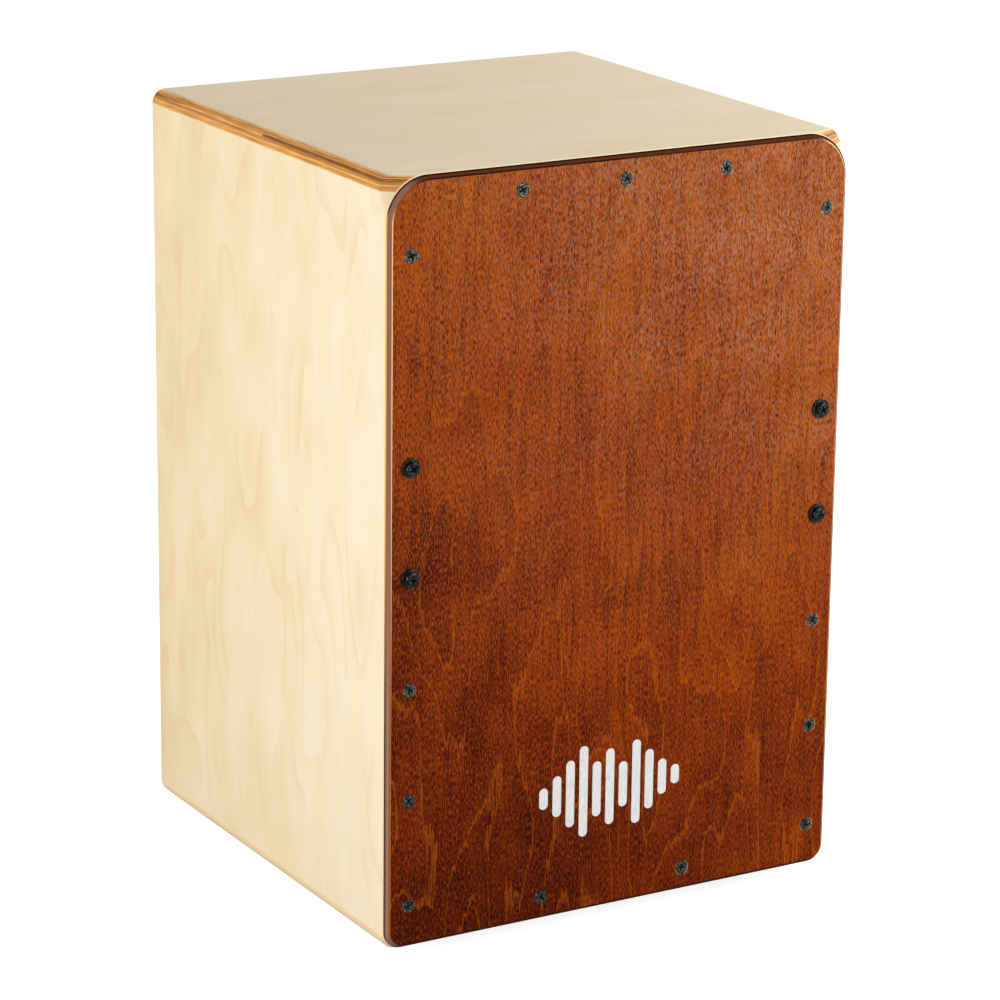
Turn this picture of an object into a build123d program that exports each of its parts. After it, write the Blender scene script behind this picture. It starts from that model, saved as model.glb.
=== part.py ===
from build123d import *
import os

# A cajon: a plywood box drum with a screwed-on playing plate, inner snares and rubber feet.
# +Z is up, the playing plate faces -Y and +X is to the right of someone who looks at the plate.
# The origin is on the floor, under the middle of the whole drum, bolt heads included.

# ---- Cabinet ----
cabinet_w = 303.0  # outside width
cabinet_h = 450.0  # height without the feet
overall_d = 301.0  # from the plate's face to the back
ply_t = 9.0  # plywood of the seat, bottom and sides
long_edge_r = 8.5  # rounding of the four long edges that run front to back
rear_edge_r = 6.0  # rounding round the back
back_t = 5.0  # thin plywood of the back panel
back_gap = 0.25  # gap round the back panel
sound_hole_r = 55.0
sound_hole_drop = 185.0  # cabinet's top to the sound hole's centre

# ---- Playing plate ----
plate_t = 4.0
plate_inset = 0.5  # how far the plate stays inside the cabinet's outline
plate_bevel = 2.5
slap_corner_r = 26.0  # the two top corners
low_corner_r = 10.5  # the two bottom corners
bevel_run = 12.0  # depth over which the cabinet's front bevel widens at 45 degrees

# ---- Battens and glue strips ----
front_batten = 18.0  # square section behind the playing plate
rear_batten = 15.0  # square section in front of the back panel
strip_leg = 15.0  # legs of the triangular strips in the long corners

# ---- Plate screws ----
screw_head_r = 4.2
screw_shank_r = 1.8
screw_length = 22.0
screw_sink = 0.15  # head's face below the plate's face
countersink_gap = 0.25
shank_gap = 0.3  # round a shank where it passes through freely
pilot_gap = 0.05  # round a shank where its thread bites wood
column_wall_gap = 5.5  # inner face of the side to the screw columns
top_row_drop = 14.0  # cabinet's top to the top row
top_row_pitch = 67.0
low_row_rise = 14.5  # cabinet's bottom to the bottom row
low_row_pitch = 97.0
slap_screw_drop = 44.0  # cabinet's top to the highest screw of each column
low_screw_rise = 26.0  # cabinet's bottom to the lowest screw of each column
low_screw_pitch = 63.5  # from the lowest screw to the next
screw_turn = 37.0  # each recess is turned this much further than the one before

# ---- Cross recess ----
recess_span = 4.6
recess_slot = 1.1
recess_depth = 1.7
recess_taper = 9.0  # degrees

# ---- Snare bolts ----
snare_drop = 196.0  # cabinet's top to the snare bar's middle
bolt_pitch = 64.0  # between the two bolts of one side
bolt_shank_r = 2.0
bolt_head_r = 4.1
bolt_head_h = 2.5
bolt_head_round = 1.1
bolt_tail = 1.2  # thread left behind the nut
washer_r = 5.7
washer_t = 1.5
washer_round = 0.35
nut_flats = 7.0  # across flats
nut_t = 3.2

# ---- Snare bar and straps ----
bar_h = 40.0
bar_front_gap = 4.0  # between the plate's back and the bar
strap_t = 2.0
strap_margin = 9.0  # strap's metal above and below its bolts
strap_reach = 24.0  # how far the strap covers the bar
strap_wall_gap = 0.6  # between strap and side panel
strap_corner_r = 4.0
strap_screw_pitch = 22.0
small_screw_r = 1.4
small_head_r = 2.8
small_head_h = 1.6
small_screw_bite = 9.0

# ---- Snare wires ----
snare_offset = 48.0  # middle of the drum to the middle of one set
wire_count = 10
wire_pitch = 3.6
wire_r = 1.1  # outside of one coiled wire
wire_reach = 130.0  # beyond the end plate
wire_bite = 9.0  # inside the end plate
end_plate_w = 52.0
end_plate_h = 13.0
end_plate_t = 3.4
end_plate_rise = 3.0  # bar's middle to the end plate's lower edge
end_screw_inset = 4.0
damper_side_gap = 14.5  # stile to the damper's end
damper_h = 10.0
damper_rise = 4.0  # bar's lower edge to the damper

# ---- Feet ----
foot_h = 10.0
foot_top_r = 15.0
foot_floor_r = 13.0
foot_round = 1.2
foot_inset = 38.0  # cabinet's outside to a foot's centre
foot_recess_r = 6.0
foot_recess_h = 4.5
foot_washer_r = 5.5
foot_washer_t = 1.0
foot_screw_r = 2.0
foot_head_r = 4.0
foot_head_h = 2.2
foot_screw_bite = 7.0

# ---- Derived places ----
proud = washer_t + bolt_head_h
face_y = (proud - overall_d) / 2  # the plate's face
front_y = face_y + plate_t  # the cabinet's front
back_y = face_y + overall_d
frame_y = front_y + front_batten  # rear of the front battens
rear_frame_y = back_y - back_t  # rear of the rear battens
floor_z = foot_h  # the cabinet's bottom
seat_z = floor_z + cabinet_h
mid_z = floor_z + cabinet_h / 2
inner_w = cabinet_w - 2 * ply_t
inner_low_z = floor_z + ply_t
inner_high_z = seat_z - ply_t
column_x = cabinet_w / 2 - ply_t - column_wall_gap
snare_z = seat_z - snare_drop
bar_front_y = front_y + bar_front_gap
bolt_heights = (snare_z - bolt_pitch / 2, snare_z + bolt_pitch / 2)
sides = (("left", -1), ("right", 1))

second_low_z = floor_z + low_screw_rise + low_screw_pitch
column_heights = (
    floor_z + low_screw_rise,
    second_low_z,
    (second_low_z + bolt_heights[0]) / 2,
    seat_z - slap_screw_drop,
)
screw_points = [(sign * column_x, z) for _, sign in sides for z in column_heights]
screw_points += [(step * top_row_pitch, seat_z - top_row_drop) for step in (-1, 0, 1)]
screw_points += [(sign * low_row_pitch / 2, floor_z + low_row_rise) for _, sign in sides]
bolt_points = [(sign * column_x, z) for _, sign in sides for z in bolt_heights]

os.makedirs("parts", exist_ok=True)


def save(piece, name):
    """Label one finished piece and write it."""
    piece.part.label = name
    export_step(piece.part, f"parts/{name}.step")


def facing_front(y):
    """Sketch plane at depth y: local X is X, local Y is Z, and it looks to -Y."""
    return Plane.XZ.offset(-y)


def draw_plate_outline(grow=0.0):
    """Draw the playing plate's outline, grown outwards all round, in the open sketch."""
    with Locations((0, mid_z)):
        Rectangle(
            cabinet_w - 2 * plate_inset + 2 * grow,
            cabinet_h - 2 * plate_inset + 2 * grow,
        )
    fillet(vertices().group_by(Axis.Y)[-1], radius=slap_corner_r + grow)
    fillet(vertices().group_by(Axis.Y)[0], radius=low_corner_r + grow)


with BuildPart() as cross_recess:
    with BuildSketch():
        Rectangle(recess_span, recess_slot)
        Rectangle(recess_slot, recess_span)
    extrude(amount=-recess_depth, taper=recess_taper)


def countersunk_screw(head_r, shank_r, length):
    """Countersunk cross-head screw along Z with its face at Z 0 and its point below."""
    head_h = head_r - shank_r
    with BuildPart() as screw:
        with BuildSketch(Plane.XZ):
            with BuildLine():
                Polyline(
                    (0, 0),
                    (head_r, 0),
                    (shank_r, -head_h),
                    (shank_r, shank_r - length),
                    (0, -length),
                    close=True,
                )
            make_face()
        revolve(axis=Axis.Z)
        add(cross_recess.part, mode=Mode.SUBTRACT)
    return screw.part


def pan_screw(head_r, head_h, head_round, shank_r, length, cross=True):
    """Pan-head screw along Z: the head stands on Z 0 and the shank hangs below."""
    with BuildPart() as screw:
        Cylinder(head_r, head_h, align=(Align.CENTER, Align.CENTER, Align.MIN))
        fillet(screw.edges().sort_by(Axis.Z)[-1], radius=head_round)
        Cylinder(shank_r, length, align=(Align.CENTER, Align.CENTER, Align.MAX))
        if cross:
            with Locations((0, 0, head_h)):
                add(cross_recess.part, mode=Mode.SUBTRACT)
    return screw.part


def driven_in(point, y, turn=0.0):
    """Place for a screw driven along +Y, towards the back, at a point (x, z) of depth y."""
    return Location((point[0], y, point[1]), (90, 0, 0)) * Location((0, 0, 0), (0, 0, turn))


def driven_out(point, y):
    """Place for a screw driven along -Y, from behind, at a point (x, z) of depth y."""
    return Location((point[0], y, point[1]), (-90, 0, 0))


def on_side(points, sign):
    """The points (x, z) that lie on one side of the drum."""
    return [point for point in points if point[0] * sign > 0]


# ---- Cabinet form: the outside that the four walls are cut to ----
with BuildPart() as front_keep:
    with BuildSketch(facing_front(front_y)):
        draw_plate_outline()
    with BuildSketch(facing_front(front_y + bevel_run)):
        draw_plate_outline(grow=bevel_run)
    loft(ruled=True)

with BuildPart() as front_waste:
    with BuildSketch(facing_front(front_y - 1)):
        with Locations((0, mid_z)):
            Rectangle(cabinet_w + 4 * bevel_run, cabinet_h + 4 * bevel_run)
    extrude(amount=-(bevel_run + 1))
    add(front_keep.part, mode=Mode.SUBTRACT)

with BuildPart() as cabinet_form:
    with BuildSketch(facing_front(front_y)):
        with Locations((0, mid_z)):
            RectangleRounded(cabinet_w, cabinet_h, long_edge_r)
    extrude(amount=-(back_y - front_y))
    fillet(cabinet_form.faces().sort_by(Axis.Y)[-1].edges(), radius=rear_edge_r)
    add(front_waste.part, mode=Mode.SUBTRACT)


def wall(x0, x1, z0, z1):
    """One wall of the cabinet: a slab over its full depth, cut to the cabinet's form."""
    with BuildPart() as panel:
        with BuildSketch(facing_front(front_y)):
            with Locations(((x0 + x1) / 2, (z0 + z1) / 2)):
                Rectangle(x1 - x0, z1 - z0)
        extrude(amount=-(back_y - front_y))
        add(cabinet_form.part, mode=Mode.INTERSECT)
    return panel


def drill_feet(radius, z0, z1):
    """Cut the four foot screws' holes between two heights."""
    with Locations(*[(x, y, z0) for x, y in foot_places.values()]):
        Cylinder(
            radius,
            z1 - z0,
            align=(Align.CENTER, Align.CENTER, Align.MIN),
            mode=Mode.SUBTRACT,
        )


foot_x = cabinet_w / 2 - foot_inset
foot_places = {
    "front_left": (-foot_x, front_y + foot_inset),
    "front_right": (foot_x, front_y + foot_inset),
    "rear_left": (-foot_x, back_y - foot_inset),
    "rear_right": (foot_x, back_y - foot_inset),
}

# ---- Seat, bottom and sides ----
with BuildPart() as seat_panel:
    add(wall(-cabinet_w / 2, cabinet_w / 2, inner_high_z, seat_z).part)
save(seat_panel, "seat_panel")

with BuildPart() as bottom_panel:
    add(wall(-cabinet_w / 2, cabinet_w / 2, floor_z, inner_low_z).part)
    drill_feet(foot_screw_r + pilot_gap, floor_z, floor_z + foot_screw_bite)
save(bottom_panel, "bottom_panel")

for side, sign in sides:
    edges_x = sorted((sign * inner_w / 2, sign * cabinet_w / 2))
    with BuildPart() as side_panel:
        add(wall(edges_x[0], edges_x[1], inner_low_z, inner_high_z).part)
    save(side_panel, f"{side}_side")

# ---- Playing plate ----
with BuildPart() as front_plate:
    with BuildSketch(facing_front(front_y)):
        draw_plate_outline()
    extrude(amount=plate_t)
    chamfer(front_plate.faces().sort_by(Axis.Y)[0].edges(), length=plate_bevel)
    with Locations(*[driven_in(point, face_y) for point in screw_points]):
        CounterSinkHole(
            radius=screw_shank_r + shank_gap,
            counter_sink_radius=screw_head_r + countersink_gap,
            depth=plate_t,
            counter_sink_angle=90,
        )
    with Locations(*[driven_in(point, face_y) for point in bolt_points]):
        Hole(radius=bolt_shank_r + shank_gap, depth=plate_t)
save(front_plate, "front_plate")


# ---- Front battens: two stiles over the full height, two rails between them ----
def bore_front(points, radius, depth):
    """Bore along +Y into what stands behind the plate."""
    with Locations(*[driven_in(point, front_y) for point in points]):
        Cylinder(
            radius,
            depth,
            align=(Align.CENTER, Align.CENTER, Align.MAX),
            mode=Mode.SUBTRACT,
        )


pilot_r = screw_shank_r + pilot_gap
pilot_depth = screw_sink + screw_length - plate_t + pilot_gap

for side, sign in sides:
    with BuildPart() as front_stile:
        with Locations((sign * (inner_w - front_batten) / 2, (front_y + frame_y) / 2, mid_z)):
            Box(front_batten, front_batten, inner_high_z - inner_low_z)
        stile_points = [point for point in screw_points if point[0] == sign * column_x]
        bore_front(stile_points, pilot_r, pilot_depth)
        side_bolts = on_side(bolt_points, sign)
        bore_front(side_bolts, bolt_shank_r + shank_gap, front_batten)
    save(front_stile, f"front_stile_{side}")

front_rails = (
    ("top", inner_high_z - front_batten / 2, seat_z - top_row_drop),
    ("bottom", inner_low_z + front_batten / 2, floor_z + low_row_rise),
)
for name, rail_z, row_z in front_rails:
    with BuildPart() as front_rail:
        with Locations((0, (front_y + frame_y) / 2, rail_z)):
            Box(inner_w - 2 * front_batten, front_batten, front_batten)
        bore_front([point for point in screw_points if point[1] == row_z], pilot_r, pilot_depth)
    save(front_rail, f"front_rail_{name}")

# ---- Rear battens and back panel ----
rear_batten_y = rear_frame_y - rear_batten / 2

for side, sign in sides:
    with BuildPart() as rear_stile:
        with Locations((sign * (inner_w - rear_batten) / 2, rear_batten_y, mid_z)):
            Box(rear_batten, rear_batten, inner_high_z - inner_low_z)
    save(rear_stile, f"rear_stile_{side}")

rear_rails = (
    ("top", inner_high_z - rear_batten / 2),
    ("bottom", inner_low_z + rear_batten / 2),
)
for name, rail_z in rear_rails:
    with BuildPart() as rear_rail:
        with Locations((0, rear_batten_y, rail_z)):
            Box(inner_w - 2 * rear_batten, rear_batten, rear_batten)
    save(rear_rail, f"rear_rail_{name}")

with BuildPart() as back_panel:
    with BuildSketch(facing_front(rear_frame_y)):
        with Locations((0, mid_z)):
            Rectangle(inner_w - 2 * back_gap, cabinet_h - 2 * ply_t - 2 * back_gap)
        with Locations((0, seat_z - sound_hole_drop)):
            Circle(sound_hole_r, mode=Mode.SUBTRACT)
    extrude(amount=-back_t)
    hole_edges = back_panel.edges().filter_by(GeomType.CIRCLE)
    fillet(hole_edges, radius=back_t / 4)
save(back_panel, "back_panel")

# ---- Glue strips in the four long corners ----
strip_length = rear_frame_y - rear_batten - frame_y
strip_rows = (("seat", inner_high_z, -1), ("bottom", inner_low_z, 1))
for row, row_z, up in strip_rows:
    for side, sign in sides:
        corner_x = sign * inner_w / 2
        with BuildPart() as corner_strip:
            with BuildSketch(facing_front(frame_y)):
                with BuildLine():
                    Polyline(
                        (corner_x, row_z),
                        (corner_x - sign * strip_leg, row_z),
                        (corner_x, row_z + up * strip_leg),
                        close=True,
                    )
                make_face()
            extrude(amount=-strip_length)
        save(corner_strip, f"corner_strip_{row}_{side}")

# ---- Snare bar ----
strap_screw_points = [
    (sign * (inner_w / 2 - front_batten - strap_reach / 2), snare_z + step * strap_screw_pitch / 2)
    for _, sign in sides
    for step in (-1, 1)
]
end_plate_z = snare_z + end_plate_rise + end_plate_h / 2
end_screw_points = [
    (sign * snare_offset + step * (end_plate_w / 2 - end_screw_inset), end_plate_z)
    for _, sign in sides
    for step in (-1, 1)
]
bar_w = inner_w - 2 * front_batten

with BuildPart() as snare_crossbar:
    with Locations((0, (bar_front_y + frame_y) / 2, snare_z)):
        Box(bar_w, frame_y - bar_front_y, bar_h)
    with Locations(*[driven_in(point, bar_front_y) for point in end_screw_points]):
        Hole(radius=small_screw_r + pilot_gap, depth=small_screw_bite)
    with Locations(*[driven_out(point, frame_y) for point in strap_screw_points]):
        Hole(radius=small_screw_r + pilot_gap, depth=small_screw_bite)
save(snare_crossbar, "snare_crossbar")

# ---- Straps that tie the bar to the stiles ----
strap_outer = inner_w / 2 - strap_wall_gap
strap_inner = inner_w / 2 - front_batten - strap_reach
strap_h = bolt_pitch + 2 * strap_margin

for side, sign in sides:
    with BuildPart() as snare_strap:
        with BuildSketch(facing_front(frame_y)):
            with Locations((sign * (strap_outer + strap_inner) / 2, snare_z)):
                RectangleRounded(strap_outer - strap_inner, strap_h, strap_corner_r)
            with Locations(*on_side(bolt_points, sign)):
                Circle(bolt_shank_r + shank_gap, mode=Mode.SUBTRACT)
            with Locations(*on_side(strap_screw_points, sign)):
                Circle(small_screw_r + shank_gap, mode=Mode.SUBTRACT)
        extrude(amount=-strap_t)
    save(snare_strap, f"snare_strap_{side}")

strap_screw = pan_screw(
    small_head_r,
    small_head_h,
    small_head_h / 3,
    small_screw_r,
    strap_t + small_screw_bite - pilot_gap,
    cross=False,
)
with BuildPart() as strap_screws:
    for point in strap_screw_points:
        with Locations(driven_out(point, frame_y + strap_t)):
            add(strap_screw)
save(strap_screws, "strap_screws")

# ---- Snare wires, each set crimped into an end plate ----
end_plate_y = bar_front_y - end_plate_t
end_screw_seat = end_plate_t - small_head_h - shank_gap
wire_y = bar_front_y - end_plate_t / 2
wire_low_z = end_plate_z + end_plate_h / 2 - wire_bite
wire_length = wire_bite + wire_reach

for side, sign in sides:
    wire_xs = [
        sign * snare_offset + (index - (wire_count - 1) / 2) * wire_pitch for index in range(wire_count)
    ]
    with BuildPart() as snare_wires:
        with Locations(*[(x, wire_y, wire_low_z) for x in wire_xs]):
            Cylinder(wire_r, wire_length, align=(Align.CENTER, Align.CENTER, Align.MIN))
    save(snare_wires, f"snare_wires_{side}")

    with BuildPart() as snare_end_plate:
        with Locations((sign * snare_offset, wire_y, end_plate_z)):
            Box(end_plate_w, end_plate_t, end_plate_h)
        with Locations(*[(x, wire_y, wire_low_z) for x in wire_xs]):
            Cylinder(
                wire_r + pilot_gap / 2,
                wire_length,
                align=(Align.CENTER, Align.CENTER, Align.MIN),
                mode=Mode.SUBTRACT,
            )
        end_screws = on_side(end_screw_points, sign)
        with Locations(*[driven_in(point, end_plate_y) for point in end_screws]):
            CounterBoreHole(
                radius=small_screw_r + shank_gap,
                counter_bore_radius=small_head_r + shank_gap,
                counter_bore_depth=small_head_h + shank_gap,
                depth=end_plate_t,
            )
    save(snare_end_plate, f"snare_end_plate_{side}")

snare_screw = pan_screw(
    small_head_r,
    small_head_h,
    small_head_h / 3,
    small_screw_r,
    end_screw_seat + small_screw_bite - pilot_gap,
    cross=False,
)
with BuildPart() as snare_screws:
    for point in end_screw_points:
        with Locations(driven_in(point, bar_front_y - end_screw_seat)):
            add(snare_screw)
save(snare_screws, "snare_screws")

with BuildPart() as damper_strip:
    with Locations((0, (front_y + bar_front_y) / 2, snare_z - bar_h / 2 + damper_rise + damper_h / 2)):
        Box(cabinet_w - 2 * (ply_t + front_batten + damper_side_gap), bar_front_gap, damper_h)
save(damper_strip, "damper_strip")

# ---- Fasteners of the plate ----
plate_screw = countersunk_screw(screw_head_r, screw_shank_r, screw_length)
with BuildPart() as plate_screws:
    for index, point in enumerate(screw_points):
        with Locations(driven_in(point, face_y + screw_sink, turn=index * screw_turn)):
            add(plate_screw)
save(plate_screws, "plate_screws")

bolt_length = washer_t + plate_t + front_batten + strap_t + nut_t + bolt_tail
snare_bolt = pan_screw(bolt_head_r, bolt_head_h, bolt_head_round, bolt_shank_r, bolt_length)
with BuildPart() as snare_bolts:
    for index, point in enumerate(bolt_points):
        with Locations(driven_in(point, face_y - washer_t, turn=index * screw_turn)):
            add(snare_bolt)
save(snare_bolts, "snare_bolts")

with BuildPart() as bolt_washer:
    Cylinder(washer_r, washer_t, align=(Align.CENTER, Align.CENTER, Align.MIN))
    fillet(bolt_washer.edges().sort_by(Axis.Z)[-1], radius=washer_round)
    Hole(radius=bolt_shank_r + shank_gap)
with BuildPart() as snare_bolt_washers:
    with Locations(*[driven_in(point, face_y) for point in bolt_points]):
        add(bolt_washer.part)
save(snare_bolt_washers, "snare_bolt_washers")

with BuildPart() as bolt_nut:
    with BuildSketch():
        RegularPolygon(nut_flats / 2, 6, major_radius=False)
        Circle(bolt_shank_r + pilot_gap, mode=Mode.SUBTRACT)
    extrude(amount=nut_t)
with BuildPart() as snare_bolt_nuts:
    with Locations(*[driven_in(point, frame_y + strap_t + nut_t) for point in bolt_points]):
        add(bolt_nut.part)
save(snare_bolt_nuts, "snare_bolt_nuts")

# ---- Feet ----
for place, (x, y) in foot_places.items():
    with BuildPart() as foot:
        with BuildSketch(Plane.XZ):
            with BuildLine():
                Polyline(
                    (foot_screw_r + shank_gap, foot_recess_h),
                    (foot_recess_r, foot_recess_h),
                    (foot_recess_r, 0),
                    (foot_floor_r, 0),
                    (foot_top_r, foot_h),
                    (foot_screw_r + shank_gap, foot_h),
                    close=True,
                )
            make_face()
        revolve(axis=Axis.Z)
        fillet(foot.edges().group_by(Axis.Z)[0].sort_by(SortBy.RADIUS)[-1], radius=foot_round)
    foot.part.position = (x, y, 0)
    save(foot, f"foot_{place}")

foot_washer_z = foot_recess_h - foot_washer_t
foot_screw = pan_screw(
    foot_head_r,
    foot_head_h,
    foot_head_h / 3,
    foot_screw_r,
    foot_h - foot_washer_z + foot_screw_bite - pilot_gap,
)
with BuildPart() as foot_screws:
    for x, y in foot_places.values():
        with Locations(Location((x, y, foot_washer_z), (180, 0, 0))):
            add(foot_screw)
save(foot_screws, "foot_screws")

with BuildPart() as foot_washers:
    with BuildSketch(Plane.XY.offset(foot_washer_z)):
        with Locations(*foot_places.values()):
            Circle(foot_washer_r)
            Circle(foot_screw_r + shank_gap, mode=Mode.SUBTRACT)
    extrude(amount=foot_washer_t)
save(foot_washers, "foot_washers")
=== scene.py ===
import math

import bmesh
import bpy
from mathutils import Matrix, Vector


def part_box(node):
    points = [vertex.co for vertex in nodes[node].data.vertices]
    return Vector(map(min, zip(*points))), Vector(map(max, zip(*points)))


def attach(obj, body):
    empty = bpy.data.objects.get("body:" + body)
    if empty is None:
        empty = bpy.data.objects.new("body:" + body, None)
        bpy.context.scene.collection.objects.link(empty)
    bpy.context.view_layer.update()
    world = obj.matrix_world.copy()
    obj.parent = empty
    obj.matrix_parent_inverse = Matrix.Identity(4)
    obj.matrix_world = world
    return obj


# A cajon in its own finishes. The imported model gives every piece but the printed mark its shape;
# this script gives them their materials, adds the printed mark and sets the studio.

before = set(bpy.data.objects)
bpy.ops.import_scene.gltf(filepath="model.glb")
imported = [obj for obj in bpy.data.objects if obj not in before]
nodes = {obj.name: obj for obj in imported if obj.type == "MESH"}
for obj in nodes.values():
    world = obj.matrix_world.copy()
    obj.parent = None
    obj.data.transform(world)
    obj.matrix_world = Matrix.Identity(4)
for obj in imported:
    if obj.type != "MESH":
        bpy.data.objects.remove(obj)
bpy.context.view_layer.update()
MM = 0.001
cabinet_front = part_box("seat_panel")[0].y
# Where the seat's second ply is short along the left edge, from the front (0) to the back (1): the whiter,
# the wider open.
SEAT_CORE_GAPS = [
    (0.0, "#E8E8E8"),
    (0.400, "#E8E8E8"),
    (0.404, "#000000"),
    (0.650, "#000000"),
    (0.690, "#C0C0C0"),
    (0.770, "#E0E0E0"),
    (0.780, "#000000"),
]


# ---- Small helpers ----


def linear(hex_colour):
    """An sRGB hex colour as linear RGBA."""
    parts = [int(hex_colour[i : i + 2], 16) / 255 for i in (1, 3, 5)]
    return [c / 12.92 if c <= 0.04045 else ((c + 0.055) / 1.055) ** 2.4 for c in parts] + [1.0]


# Node kinds by short names. A range takes the value (0), what it runs from (1, 2) and what it runs to (3, 4);
# a mix takes the share (0) of its second colour, and its two colours (6, 7).
MATH = "ShaderNodeMath"
RANGE = "ShaderNodeMapRange"
RAMP = "ShaderNodeValToRGB"
MIX = "ShaderNodeMix"
# Settings that many nodes share.
BLEND = {"data_type": "RGBA"}
TINT = {"data_type": "RGBA", "blend_type": "MULTIPLY"}
SMOOTH = {"interpolation_type": "SMOOTHSTEP"}


def add(tree, kind, inputs=None, stops=(), **settings):
    """Adds one node with its own settings, its ramp's stops, and inputs that are values, sockets or other
    nodes."""
    made = tree.nodes.new(kind)
    for name, value in settings.items():
        setattr(made, name, value)
    for spare in stops[2:]:
        made.color_ramp.elements.new(1.0)
    for index, (position, colour) in enumerate(stops):
        made.color_ramp.elements[index].position = position
        made.color_ramp.elements[index].color = linear(colour)
    for socket, value in (inputs or {}).items():
        if isinstance(value, bpy.types.Node):
            value = next(output for output in value.outputs if output.enabled)
        if isinstance(value, bpy.types.NodeSocket):
            tree.links.new(value, made.inputs[socket])
        else:
            made.inputs[socket].default_value = value
    return made


def new_material(name):
    """A material with an empty node tree, and the place of each point on its piece."""
    material = bpy.data.materials.new(name)
    material.use_nodes = True
    tree = material.node_tree
    tree.nodes.clear()
    return material, tree, add(tree, "ShaderNodeTexCoord").outputs["Object"]


def cover(tree, inputs, height, bump, depth):
    """Ends a material: its surface, with a relief of depth metres that follows height."""
    relief = add(tree, "ShaderNodeBump", {"Height": height, "Strength": bump, "Distance": depth})
    surface = add(tree, "ShaderNodeBsdfPrincipled", {**inputs, "Normal": relief})
    add(tree, "ShaderNodeOutputMaterial", {"Surface": surface})


def cloudy(tree, place, size, seed, detail=2.0, roughness=0.5):
    """A soft irregular pattern with spots size millimetres across along X, Y and Z."""
    scale = [1 / (spot * MM) for spot in size]
    stretched = add(tree, "ShaderNodeMapping", {"Vector": place, "Location": seed, "Scale": scale})
    pattern = {"Vector": stretched, "Scale": 1.0, "Detail": detail, "Roughness": roughness}
    return add(tree, "ShaderNodeTexNoise", pattern)


def along_grain(grain, across, along):
    """Sizes for a pattern that runs along the grain axis."""
    return [along if axis == grain else across for axis in "XYZ"]


def sheet_span(piece, axis):
    """Lowest and highest place of a sheet along an axis."""
    low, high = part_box(piece)
    return low["XYZ".index(axis)], high["XYZ".index(axis)]


def growth_rings(tree, place, grain, across, along, turns, jag, seed):
    """Rings of a rotary-cut veneer, 0 to 1 from one to the next: the knife skims them, so they show as nested
    flames and closed contours, with the ragged edge that the fibres give them."""
    body = cloudy(tree, place, along_grain(grain, across, along), (seed, 2 * seed, 3 * seed), 1.6, 0.42)
    fibres = cloudy(tree, place, along_grain(grain, 1.3, 26), (seed, 5.0, seed), 1.0)
    ragged = add(tree, MATH, {0: fibres, 1: jag}, operation="MULTIPLY")
    turned = add(tree, MATH, {0: body, 1: turns, 2: ragged}, operation="MULTIPLY_ADD")
    return add(tree, MATH, {0: turned}, operation="FRACT")


# ---- Materials ----


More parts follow.
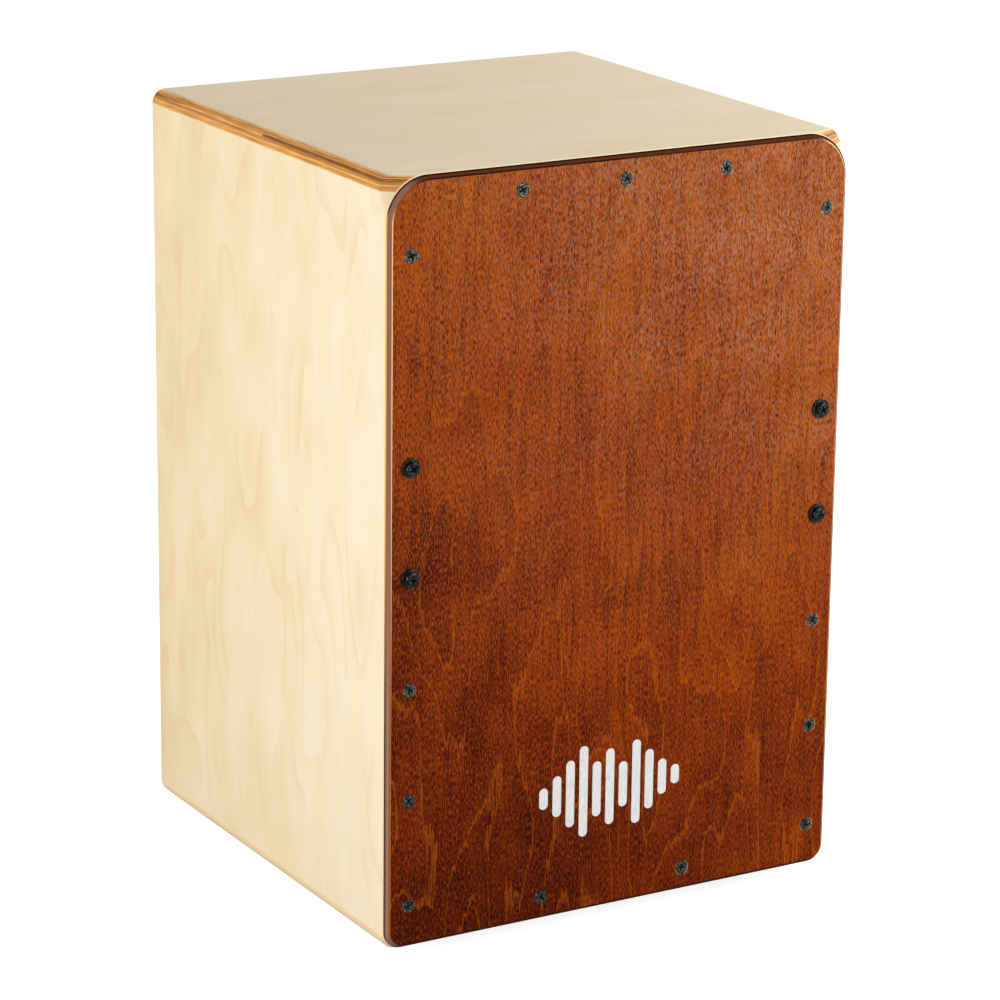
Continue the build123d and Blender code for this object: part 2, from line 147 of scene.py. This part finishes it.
def natural_birch(name, grain, thick, sheet, seed, tone=1.0, mellow=0.0, pale=0.0, core_gap=False, plies=7):
    """Birch plywood, rotary-cut and clear satin lacquered: a cream face with faint tan rings and a few short
    flecks. Its cut edges show the plies as orange and tan bands with thin dark glue lines. tone is how strong
    the figure is, mellow how much yellower the face is at the back, pale how pale its edge is, core_gap where
    the second ply is short, and plies how many there are."""
    material, tree, place = new_material(name)
    apart = add(tree, "ShaderNodeSeparateXYZ", {"Vector": place})
    low, high = sheet_span(sheet, thick)

    # Face: cream, clouded over some 50 mm.
    clouds = cloudy(tree, place, along_grain(grain, 34, 90), (seed, 0, 0), 3.0)
    clouds = add(tree, MATH, {0: clouds, 1: tone, 2: 0.56 - 0.5 * tone}, operation="MULTIPLY_ADD")
    clouds = add(tree, MATH, {0: apart.outputs["Y"], 1: -mellow, 2: clouds}, operation="MULTIPLY_ADD")
    face = add(tree, RAMP, {0: clouds}, [(0.3, "#E0CA9E"), (0.5, "#EBD8B2"), (0.7, "#F0E1C4")])
    # Rings: each is tan on one side and fades away on the other, and whole patches have none.
    rings = growth_rings(tree, place, grain, across=46, along=150, turns=7.0, jag=0.24, seed=seed)
    ring_stops = [(0.0, "#E0BD82"), (0.08, "#EBCD96"), (0.4, "#FBF1DC"), (1.0, "#FFFFFF")]
    ring_tint = add(tree, RAMP, {0: rings}, ring_stops)
    patches = cloudy(tree, place, along_grain(grain, 60, 60), (seed + 3, 1, 0), 1.0)
    shown = add(tree, RANGE, {0: patches, 1: 0.40, 2: 0.66, 3: 0.05 * tone, 4: 0.42 * tone}, **SMOOTH)
    face = add(tree, MIX, {0: shown, 6: face, 7: ring_tint}, **TINT)
    # Flecks: 1 mm wide and up to 9 mm long in birch.
    flecks = cloudy(tree, place, along_grain(grain, 1.6, 10), (0, seed, 0), 1.0)
    shown = add(tree, RANGE, {0: flecks, 1: 0.74, 2: 0.81, 4: 0.7 * tone}, **SMOOTH)
    face = add(tree, MIX, {0: shown, 6: face, 7: linear("#D3A058")}, **BLEND)
    # Fibres: 0.3 mm in the wood, drawn at 0.7 mm so that they show.
    fibres = cloudy(tree, place, along_grain(grain, 0.7, 30), (seed, 0, 4), 2.0)
    tint = add(tree, RAMP, {0: fibres}, [(0.3, "#C8A877"), (0.7, "#FFFFFF")])
    face = add(tree, MIX, {0: 0.10, 6: face, 7: tint}, **TINT)

    # Edge: the plies, long grain and end grain in turn, streaked along their length and wandering a little.
    wander = cloudy(tree, place, (60, 60, 60), (seed, 3, 3), 1.0)
    depth = add(tree, RANGE, {0: apart.outputs["XYZ".index(thick)], 1: low, 2: high})
    bent = add(tree, MATH, {0: wander, 1: 0.08, 2: depth}, operation="MULTIPLY_ADD")
    bent = add(tree, MATH, {0: bent, 1: 0.04}, operation="SUBTRACT")
    edge = add(tree, RAMP, {0: bent}, ply_stops(plies))
    streaks = cloudy(tree, place, [22 if axis != thick else 0.4 for axis in "XYZ"], (seed, 8, 1), 3.0, 0.6)
    tint = add(tree, RAMP, {0: streaks}, [(0.36, "#B8803E"), (0.62, "#FFFBEE")])
    edge = add(tree, MIX, {0: 0.7, 6: edge, 7: tint}, **TINT)
    edge = add(tree, MIX, {0: pale, 6: edge, 7: linear("#F7E6C0")}, **BLEND)
    if core_gap:
        # The second ply was laid short in places, which leaves a slot in the edge; the slot's dark colour is
        # painted shade.
        off_slot = add(tree, MATH, {0: depth, 1: 0.655}, operation="SUBTRACT")
        off_slot = add(tree, MATH, {0: off_slot}, operation="ABSOLUTE")
        void_shade = add(tree, RANGE, {0: off_slot, 1: 0.062, 2: 0.085, 3: 1.0, 4: 0.0})
        run = {0: apart.outputs["X"], 1: 0.3, 2: apart.outputs["Y"]}
        run = add(tree, MATH, run, operation="MULTIPLY_ADD")
        open_run = add(tree, RAMP, {0: add(tree, RANGE, {0: run, 1: -0.2, 2: 0.2})}, core_gap)
        ragged = cloudy(tree, place, (7, 7, 1.2), (seed, 1, 9))
        ragged = add(tree, RANGE, {0: ragged, 1: 0.3, 2: 0.44, 3: 0.8})
        void_shade = add(tree, MATH, {0: void_shade, 1: open_run}, operation="MULTIPLY")
        void_shade = add(tree, MATH, {0: void_shade, 1: ragged}, operation="MULTIPLY")
        edge = add(tree, MIX, {0: void_shade, 6: edge, 7: linear("#5E2C0C")}, **BLEND)

    outer = add(tree, MATH, {0: depth, 1: 0.5}, operation="SUBTRACT")
    outer = add(tree, MATH, {0: outer}, operation="ABSOLUTE")
    outer = add(tree, RANGE, {0: outer, 1: 0.425, 2: 0.492}, **SMOOTH)
    colour = add(tree, MIX, {0: outer, 6: edge, 7: face}, **BLEND)
    # Arris: a painted highlight, a bright line along the front edge where it meets the plate.
    highlight_fade_y, highlight_full_y = cabinet_front + 0.9 * MM, cabinet_front + 0.3 * MM
    arris_highlight = add(tree, RANGE, {0: apart.outputs["Y"], 1: highlight_fade_y, 2: highlight_full_y})
    colour = add(tree, MIX, {0: arris_highlight, 6: colour, 7: linear("#FFE3A8")}, **BLEND)
    sheen = add(tree, RANGE, {0: fibres, 1: 0.3, 2: 0.7, 3: 0.42, 4: 0.52})
    lacquer = {"Base Color": colour, "Roughness": sheen, "IOR": 1.5}
    cover(tree, lacquer, fibres, bump=0.12, depth=0.06 * MM)
    return material


def ply_stops(plies):
    """Ramp stops for a sheet's edge: each ply's colour and a thin glue line after it."""
    colours = ["#F5C377", "#E3A24C", "#F2C27A", "#D9953F"]
    stops = []
    for ply in range(plies):
        start, end = ply / plies, (ply + 1) / plies
        colour = colours[ply % 4]
        stops += [(start + 0.012, colour), (end - 0.022, colour), (end - 0.006, "#B57A36")]
    return stops


def stained_birch(name, sheet):
    """Birch plywood, brown spirit stain under satin lacquer: the stain pools in the soft wood and leaves
    orange where the rings are hard, in short upright flecks; between them a mauve sheen is painted as the
    lacquer's reflection."""
    material, tree, place = new_material(name)
    apart = add(tree, "ShaderNodeSeparateXYZ", {"Vector": place})
    low, high = sheet_span(sheet, "Z")
    height = add(tree, RANGE, {0: apart.outputs["Z"], 1: low, 2: high})

    # Mottling: the stain took unevenly over patches some 50 mm across, and the colour is darker low and to
    # the left.
    mottle = cloudy(tree, place, (44, 44, 62), (3, 0, 7), 3.5, 0.55)
    mottle = add(tree, MATH, {0: mottle, 1: 0.44, 2: 0.12}, operation="MULTIPLY_ADD")
    mottle = add(tree, MATH, {0: height, 1: 0.29, 2: mottle}, operation="MULTIPLY_ADD")
    mottle = add(tree, MATH, {0: apart.outputs["X"], 1: 0.48, 2: mottle}, operation="MULTIPLY_ADD")
    stain_stops = [(0.30, "#601700"), (0.40, "#822B00"), (0.51, "#A64200"), (0.68, "#BE6008")]
    colour = add(tree, RAMP, {0: mottle}, stain_stops)
    # Strands: soft upright streaks where the stain followed the grain.
    strands = cloudy(tree, place, (2.2, 2.2, 45), (6, 2, 4), 3.0, 0.6)
    tint = add(tree, RAMP, {0: strands}, [(0.34, "#B49C90"), (0.56, "#FFFFFF")])
    colour = add(tree, MIX, {0: 0.8, 6: colour, 7: tint}, **TINT)
    # Flecks: pores about 0.2 mm wide and 2 mm long, drawn at 0.8 mm.
    flecks = cloudy(tree, place, (0.75, 0.75, 2.8), (1, 0, 2), 1.5)
    tint = add(tree, RAMP, {0: flecks}, [(0.34, "#908072"), (0.49, "#F0EBE4"), (0.54, "#FFFFFF")])
    colour = add(tree, MIX, {0: 0.95, 6: colour, 7: tint}, **TINT)
    hard = add(tree, RANGE, {0: flecks, 1: 0.50, 2: 0.64}, **SMOOTH)
    hard_share = add(tree, RANGE, {0: height, 3: 0.22, 4: 0.68})
    hard = add(tree, MATH, {0: hard, 1: hard_share}, operation="MULTIPLY")
    colour = add(tree, MIX, {0: hard, 6: colour, 7: linear("#CC6205")}, **BLEND)
    # Rings: hard late wood stays orange in thin ragged lines, and the stain darkens the wood beside them.
    rings = growth_rings(tree, place, "Z", across=46, along=210, turns=10.0, jag=0.36, seed=11.3)
    beside = add(tree, RAMP, {0: rings}, [(0.0, "#FFFFFF"), (0.6, "#FFFFFF"), (1.0, "#C0AC9E")])
    colour = add(tree, MIX, {0: 0.4, 6: colour, 7: beside}, **TINT)
    line = add(tree, RANGE, {0: rings, 1: 0.0, 2: 0.11, 3: 0.33, 4: 0.0}, **SMOOTH)
    low_down = add(tree, RANGE, {0: height, 1: 0.3, 2: 1.0, 3: 1.0, 4: 0.55})
    line = add(tree, MATH, {0: line, 1: low_down}, operation="MULTIPLY")
    colour = add(tree, MIX, {0: line, 6: colour, 7: linear("#DC6C04")}, **BLEND)
    # Painted sheen: a mauve reflection of the lacquer, painted between the flecks and strongest high up and
    # to the right.
    painted_sheen = cloudy(tree, place, (0.8, 0.8, 2.2), (7, 3, 2), 1.5)
    painted_sheen = add(tree, RANGE, {0: painted_sheen, 1: 0.46, 2: 0.62, 4: 0.75}, **SMOOTH)
    sheen_patches = cloudy(tree, place, (70, 70, 60), (5, 5, 1))
    sheen_patches = add(tree, RANGE, {0: sheen_patches, 1: 0.35, 2: 0.6, 3: 0.4})
    painted_sheen = add(tree, MATH, {0: painted_sheen, 1: sheen_patches}, operation="MULTIPLY")
    sheen_rise = add(tree, RANGE, {0: height, 1: 0.25, 2: 1.0, 4: 0.95}, **SMOOTH)
    painted_sheen = add(tree, MATH, {0: painted_sheen, 1: sheen_rise}, operation="MULTIPLY")
    across = add(tree, RANGE, {0: apart.outputs["X"], 1: -0.15, 2: 0.15, 3: 0.2, 4: 1.6})
    painted_sheen = add(tree, MATH, {0: painted_sheen, 1: across}, operation="MULTIPLY", use_clamp=True)
    colour = add(tree, MIX, {0: painted_sheen, 6: colour, 7: linear("#B57C62")}, **BLEND)
    # Bevel: its raw wood drinks the lacquer and stays matt; its colours from plate_edge are mostly painted
    # light and shade.
    front, back = sheet_span(sheet, "Y")
    depth = add(tree, RANGE, {0: apart.outputs["Y"], 1: front, 2: back})
    past_face = add(tree, RANGE, {0: depth, 1: 0.004, 2: 0.02})
    edge = plate_edge(tree, apart, depth, height)
    colour = add(tree, MIX, {0: past_face, 6: colour, 7: edge}, **BLEND)
    sheen = add(tree, RANGE, {0: flecks, 1: 0.3, 2: 0.7, 3: 0.46, 4: 0.34})
    sheen = add(tree, MATH, {0: past_face, 1: 0.4, 2: sheen}, operation="MULTIPLY_ADD")
    lacquer = {"Base Color": colour, "Roughness": sheen, "IOR": 1.5, "Specular IOR Level": 0.06}
    cover(tree, lacquer, flecks, bump=0.30, depth=0.10 * MM)
    return material


def plate_edge(tree, apart, depth, height):
    """The plate's bevel, mostly painted light and shade. At top and bottom the end grain drinks the stain and
    is darkened further with painted shade, between almost black lines at its arrises, the back one a painted
    shadow gap. Along the sides the long grain is mauve brown, a painted reflection of the white to the left,
    and the sides' sanded arrises show orange under a painted highlight."""
    upright = add(tree, "ShaderNodeSeparateXYZ", {0: add(tree, "ShaderNodeTexCoord").outputs["Normal"]})
    upright = add(tree, MATH, {0: upright.outputs["Z"]}, operation="ABSOLUTE")
    # Stops run from the plate's face (0) to its back (1).
    # Left side high up: the orange sanded arris under a painted highlight, a mauve brown painted reflection,
    # then the orange side wall.
    left = [
        (0.0, "#FFD898"),
        (0.08, "#FFBE70"),
        (0.15, "#8E6459"),
        (0.58, "#8A6055"),
        (0.68, "#F0AC58"),
        (1.0, "#E9A24C"),
    ]
    # Corners: a mauve brown painted reflection, then a painted shadow gap towards the back.
    turn = [(0.0, "#7A4030"), (0.12, "#8E6459"), (0.55, "#8A6055"), (0.66, "#3A1A10"), (1.0, "#241008")]
    # Right side: a painted highlight at the face, then dark.
    right = [(0.0, "#FFC48A"), (0.20, "#EDA878"), (0.28, "#4A2014"), (1.0, "#1E0C06")]
    # Top and bottom: dark end grain with painted shade, between almost black lines; the back one is a painted
    # shadow gap.
    end = [
        (0.0, "#0A0301"),
        (0.16, "#080200"),
        (0.24, "#5C2602"),
        (0.46, "#602803"),
        (0.54, "#060200"),
        (1.0, "#0A0301"),
    ]
    # Left side low down: an orange arris, a mauve painted reflection, then dark.
    low = [
        (0.0, "#B8661E"),
        (0.22, "#8E4E1E"),
        (0.34, "#A08478"),
        (0.56, "#7C5E54"),
        (0.70, "#34180E"),
        (1.0, "#6A3A1C"),
    ]
    ramps = (left, low, turn, right, end)
    left, low, turn, right, end = (add(tree, RAMP, {0: depth}, stops) for stops in ramps)
    # High up, the left side takes the ramp with the brighter painted highlight.
    sanded_and_highlit = add(tree, RANGE, {0: height, 1: 0.25, 2: 0.75}, **SMOOTH)
    left = add(tree, MIX, {0: sanded_and_highlit, 6: low, 7: left}, **BLEND)
    corner = add(tree, RANGE, {0: upright, 1: 0.05, 2: 0.35}, **SMOOTH)
    edge = add(tree, MIX, {0: corner, 6: left, 7: turn}, **BLEND)
    at_right = add(tree, RANGE, {0: apart.outputs["X"], 1: -MM, 2: MM})
    edge = add(tree, MIX, {0: at_right, 6: edge, 7: right}, **BLEND)
    # Top and bottom take the end grain ramp, dark partly from the stain and partly painted shade.
    end_grain_and_shade = add(tree, RANGE, {0: upright, 1: 0.58, 2: 0.72}, **SMOOTH)
    return add(tree, MIX, {0: end_grain_and_shade, 6: edge, 7: end}, **BLEND)


def plain_wood(name, grain, light, dark, seed):
    """Spruce batten, planed and left bare: straight narrow rings, matt."""
    material, tree, place = new_material(name)
    rings = growth_rings(tree, place, grain, across=14, along=400, turns=7.0, jag=0.12, seed=seed)
    colour = add(tree, RAMP, {0: rings}, [(0.0, dark), (0.25, light), (1.0, light)])
    fibres = cloudy(tree, place, along_grain(grain, 0.6, 20), (seed, 0, 0))
    tint = add(tree, RAMP, {0: fibres}, [(0.3, dark), (0.7, "#FFFFFF")])
    colour = add(tree, MIX, {0: 0.25, 6: colour, 7: tint}, **TINT)
    cover(tree, {"Base Color": colour, "Roughness": 0.72}, fibres, bump=0.3, depth=0.1 * MM)
    return material


def metal(name, colour, worn, roughness, wear, metallic=1.0):
    """Steel with a thin finish, handled and driven: the finish is cloudy, and rubbed to lighter metal in
    spots."""
    material, tree, place = new_material(name)
    blotches = cloudy(tree, place, (2.4, 2.4, 2.4), (4, 2, 1), 3.0)
    rubbed = cloudy(tree, place, (0.8, 0.8, 0.8), (1, 7, 3))
    tone = add(tree, RAMP, {0: blotches}, [(0.4, colour), (0.7, worn)])
    shown = add(tree, RANGE, {0: rubbed, 1: 0.57, 2: 0.66, 4: wear}, **SMOOTH)
    tone = add(tree, MIX, {0: shown, 6: tone, 7: linear("#9A9D92")}, **BLEND)
    sheen = add(tree, RANGE, {0: blotches, 1: 0.3, 2: 0.7, 3: roughness - 0.06, 4: roughness + 0.08})
    finish = {"Base Color": tone, "Metallic": metallic, "Roughness": sheen}
    cover(tree, finish, rubbed, bump=0.25, depth=0.05 * MM)
    return material


def moulded_rubber(name):
    """Black moulded rubber: matt, with a fine spark-eroded grain and a dusty bloom."""
    material, tree, place = new_material(name)
    grain = cloudy(tree, place, (0.5, 0.5, 0.5), (0, 0, 0))
    bloom = cloudy(tree, place, (9, 9, 9), (0, 4, 0), 3.0)
    colour = add(tree, RAMP, {0: bloom}, [(0.35, "#161616"), (0.7, "#2A2928")])
    cover(tree, {"Base Color": colour, "Roughness": 0.78, "IOR": 1.52}, grain, bump=0.4, depth=0.08 * MM)
    return material


def open_foam(name):
    """Charcoal polyurethane foam: matt, pitted with open cells of about 1 mm, whose hollows are darkened with
    painted shade.
    """
    material, tree, place = new_material(name)
    cells = add(tree, "ShaderNodeTexVoronoi", {"Vector": place, "Scale": 1 / (1.2 * MM)})
    colour = add(tree, RAMP, {0: cells}, [(0.0, "#0C0C0D"), (0.6, "#3A3A3C")])
    cover(tree, {"Base Color": colour, "Roughness": 0.95}, cells, bump=0.8, depth=0.5 * MM)
    return material


def screen_print(name):
    """White screen ink on lacquer: an opaque satin film that lets the fibres under it show a little."""
    material, tree, place = new_material(name)
    fibres = cloudy(tree, place, (0.9, 0.9, 5.5), (1, 0, 2))
    colour = add(tree, RAMP, {0: fibres}, [(0.25, "#DEDCD8"), (0.5, "#F2F1EE"), (0.75, "#F8F8F6")])
    ink = {"Base Color": colour, "Roughness": 0.45, "IOR": 1.5}
    cover(tree, ink, fibres, bump=0.3, depth=0.08 * MM)
    return material


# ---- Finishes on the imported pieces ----


def paint(material, *names):
    """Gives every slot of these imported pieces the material."""
    for name in names:
        mesh = nodes[name].data
        if not mesh.materials:
            mesh.materials.append(material)
        for index in range(len(mesh.materials)):
            mesh.materials[index] = material


# Each birch sheet: its material's name, grain axis, thickness axis, the sheet and where its pattern starts.
birch_sheets = [
    ("seat_birch_ply_lacquered", "X", "Z", "seat_panel", 2.1, {"tone": 0.3, "core_gap": SEAT_CORE_GAPS}),
    ("bottom_birch_ply_lacquered", "X", "Z", "bottom_panel", 5.7, {"pale": 0.65}),
    ("left_birch_ply_lacquered", "Z", "X", "left_side", 3.4, {"tone": 0.6, "mellow": 0.9, "pale": 0.8}),
    ("right_birch_ply_lacquered", "Z", "X", "right_side", 8.9, {"tone": 0.6, "mellow": 0.9, "pale": 0.8}),
    ("back_birch_ply_lacquered", "Z", "Y", "back_panel", 6.2, {"tone": 0.8, "plies": 3}),
]
for name, grain, thick, sheet, seed, look in birch_sheets:
    paint(natural_birch(name, grain, thick, sheet, seed, **look), sheet)
paint(stained_birch("plate_birch_ply_stained", "front_plate"), "front_plate")

upright_batten = plain_wood("spruce_batten_upright", "Z", "#E2C595", "#C2965A", 4.4)
level_batten = plain_wood("spruce_batten_level", "X", "#E2C595", "#C2965A", 7.1)
strip_wood = plain_wood("spruce_strip_glued", "Y", "#DDBD8B", "#BD9053", 2.6)
paint(upright_batten, "front_stile_left", "front_stile_right", "rear_stile_left", "rear_stile_right")
paint(
    level_batten,
    "front_rail_top",
    "front_rail_bottom",
    "rear_rail_top",
    "rear_rail_bottom",
    "snare_crossbar",
)
paint(
    strip_wood,
    "corner_strip_bottom_left",
    "corner_strip_bottom_right",
    "corner_strip_seat_left",
    "corner_strip_seat_right",
)

screw_black = metal("steel_screw_phosphated", "#1B1C19", "#4C4E46", roughness=0.44, wear=0.85, metallic=0.75)
bolt_black = metal("steel_bolt_blackened", "#161917", "#30342F", roughness=0.30, wear=0.35, metallic=0.8)
zinc = metal("steel_zinc_plated", "#A9ABAA", "#C6C8C7", roughness=0.34, wear=0.3)
spring = metal("steel_spring_wire", "#8E8C88", "#B5B2AC", roughness=0.26, wear=0.2)
paint(screw_black, "plate_screws")
paint(bolt_black, "snare_bolts", "snare_bolt_washers")
paint(
    zinc,
    "snare_bolt_nuts",
    "snare_strap_left",
    "snare_strap_right",
    "strap_screws",
    "snare_screws",
    "foot_screws",
    "foot_washers",
    "snare_end_plate_left",
    "snare_end_plate_right",
)
paint(spring, "snare_wires_left", "snare_wires_right")
paint(
    moulded_rubber("rubber_foot_moulded"),
    "foot_front_left",
    "foot_front_right",
    "foot_rear_left",
    "foot_rear_right",
)
paint(open_foam("foam_damper_cut"), "damper_strip")


# ---- Printed mark ----
# A plain sound wave of eleven upright strokes, printed low on the plate.

PRINT_FILM = 0.12 * MM  # thickness of the ink
PRINT_SOAK = 0.05 * MM  # how far it sinks into the lacquer
STROKE_W = 5.8 * MM
STROKE_PITCH = 9.0 * MM
STROKE_HEIGHTS = (13, 25, 41, 56, 34, 47, 28, 52, 37, 22, 12)  # millimetres
STROKE_SEGMENTS = 32  # round each stroke's two ends together
MARK_X = -3 * MM
MARK_Z = 85 * MM


def printed_mark(middle_x, middle_z, face_y):
    """The mark as one thin piece that stands on the plate's face."""
    shape = bmesh.new()
    radius = STROKE_W / 2
    for index, height in enumerate(STROKE_HEIGHTS):
        stroke = bmesh.ops.create_circle(shape, cap_ends=True, segments=STROKE_SEGMENTS, radius=radius)
        stroke = stroke["verts"]
        half_step = Matrix.Rotation(math.pi / STROKE_SEGMENTS, 3, "Z")
        bmesh.ops.rotate(shape, verts=stroke, matrix=half_step)
        reach = height * MM / 2 - radius
        bmesh.ops.translate(shape, verts=[v for v in stroke if v.co.y > 0], vec=(0, reach, 0))
        bmesh.ops.translate(shape, verts=[v for v in stroke if v.co.y < 0], vec=(0, -reach, 0))
        step = index - (len(STROKE_HEIGHTS) - 1) / 2
        bmesh.ops.translate(shape, verts=stroke, vec=(step * STROKE_PITCH, 0, 0))
    faces = list(shape.faces)
    raised = bmesh.ops.extrude_face_region(shape, geom=faces)["geom"]
    top = [v for v in raised if isinstance(v, bmesh.types.BMVert)]
    bmesh.ops.translate(shape, verts=top, vec=(0, 0, PRINT_FILM + PRINT_SOAK))
    bmesh.ops.recalc_face_normals(shape, faces=shape.faces)
    bmesh.ops.rotate(shape, verts=shape.verts, matrix=Matrix.Rotation(math.pi / 2, 3, "X"))
    bmesh.ops.translate(shape, verts=shape.verts, vec=(middle_x, face_y + PRINT_SOAK, middle_z))
    mesh = bpy.data.meshes.new("printed_mark")
    shape.to_mesh(mesh)
    shape.free()
    mark = bpy.data.objects.new("printed_mark", mesh)
    bpy.context.scene.collection.objects.link(mark)
    mesh.materials.append(screen_print("ink_screen_printed"))
    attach(mark, "root")


printed_mark(MARK_X, MARK_Z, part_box("front_plate")[0].y)


# ---- Studio ----


def studio_floor():
    """A wide pale paper sweep. It is lit from within for the camera alone, so it stays bright behind the
    drum without throwing that light back on it."""
    sheet = bmesh.new()
    bmesh.ops.create_grid(sheet, x_segments=1, y_segments=1, size=20)
    mesh = bpy.data.meshes.new("studio_floor")
    sheet.to_mesh(mesh)
    sheet.free()
    floor = bpy.data.objects.new("studio_floor", mesh)
    bpy.context.scene.collection.objects.link(floor)
    material, tree, _ = new_material("floor_pale_paper")
    glow = add(tree, MATH, {0: add(tree, "ShaderNodeLightPath"), 1: 0.85}, operation="MULTIPLY")
    paper = {
        "Base Color": linear("#BDBDBD"),
        "Roughness": 1.0,
        "Specular IOR Level": 0.0,
        "Emission Color": linear("#FFFFFF"),
        "Emission Strength": glow,
    }
    add(tree, "ShaderNodeOutputMaterial", {"Surface": add(tree, "ShaderNodeBsdfPrincipled", paper)})
    mesh.materials.append(material)


def studio_air(strength):
    """Even white light of this strength from all round, with plain white behind everything for the camera."""
    world = bpy.data.worlds.new("studio_air")
    world.use_nodes = True
    tree = world.node_tree
    level = add(tree, RANGE, {0: add(tree, "ShaderNodeLightPath"), 3: strength, 4: 1.0})
    tree.links.new(level.outputs["Result"], tree.nodes["Background"].inputs["Strength"])
    tree.nodes["Background"].inputs["Color"].default_value = linear("#FFFFFF")
    bpy.context.scene.world = world


def soft_light(name, place, target, width, height, power, tint="#FFFFFF"):
    """A softbox at place that looks at target."""
    data = bpy.data.lights.new(name, "AREA")
    data.shape = "RECTANGLE"
    data.size, data.size_y = width, height
    data.energy = power
    data.color = linear(tint)[:3]
    lamp = bpy.data.objects.new(name, data)
    bpy.context.scene.collection.objects.link(lamp)
    lamp.location = place
    lamp.rotation_euler = (Vector(target) - Vector(place)).to_track_quat("-Z", "Y").to_euler()


def camera_at(place, target, focal_mm, roll_degrees):
    """The scene's camera, aimed at target and rolled about its own axis."""
    data = bpy.data.cameras.new("camera")
    data.lens = focal_mm
    data.sensor_width = 36.0  # millimetres
    data.clip_end = 100.0
    camera = bpy.data.objects.new("camera", data)
    bpy.context.scene.collection.objects.link(camera)
    aim = (Vector(target) - Vector(place)).to_track_quat("-Z", "Y").to_matrix().to_4x4()
    aim = aim @ Matrix.Rotation(math.radians(roll_degrees), 4, "Z")
    camera.matrix_world = Matrix.Translation(place) @ aim
    bpy.context.scene.camera = camera


studio_floor()
middle = (0, 0, 0.23)  # of the drum
plate_high = (0.05, -0.15, 0.35)
plate_right = (0.1, -0.15, 0.4)
soft_light("softbox_left", (-1.75, -0.25, 0.53), middle, width=1.3, height=1.0, power=26.8)
soft_light("softbox_front_right", (0.9, -1.15, 0.98), plate_high, width=0.7, height=0.8, power=10.6)
soft_light("softbox_low_right", (1.42, -2.0, 0.30), plate_right, width=0.9, height=0.55, power=11)
soft_light("softbox_above", (1.4, 0.15, 1.85), middle, width=1.4, height=1.4, power=31, tint="#F6F8FF")
soft_light("softbox_behind", (1.9, 1.1, 0.4), middle, width=1.2, height=1.2, power=14)
studio_air(strength=0.25)
bpy.context.scene.view_settings.view_transform = "Standard"

camera_at((-1.1693, -2.0131, 0.9037), (0.0082, 0.0015, 0.2187), focal_mm=144.3, roll_degrees=0.678)
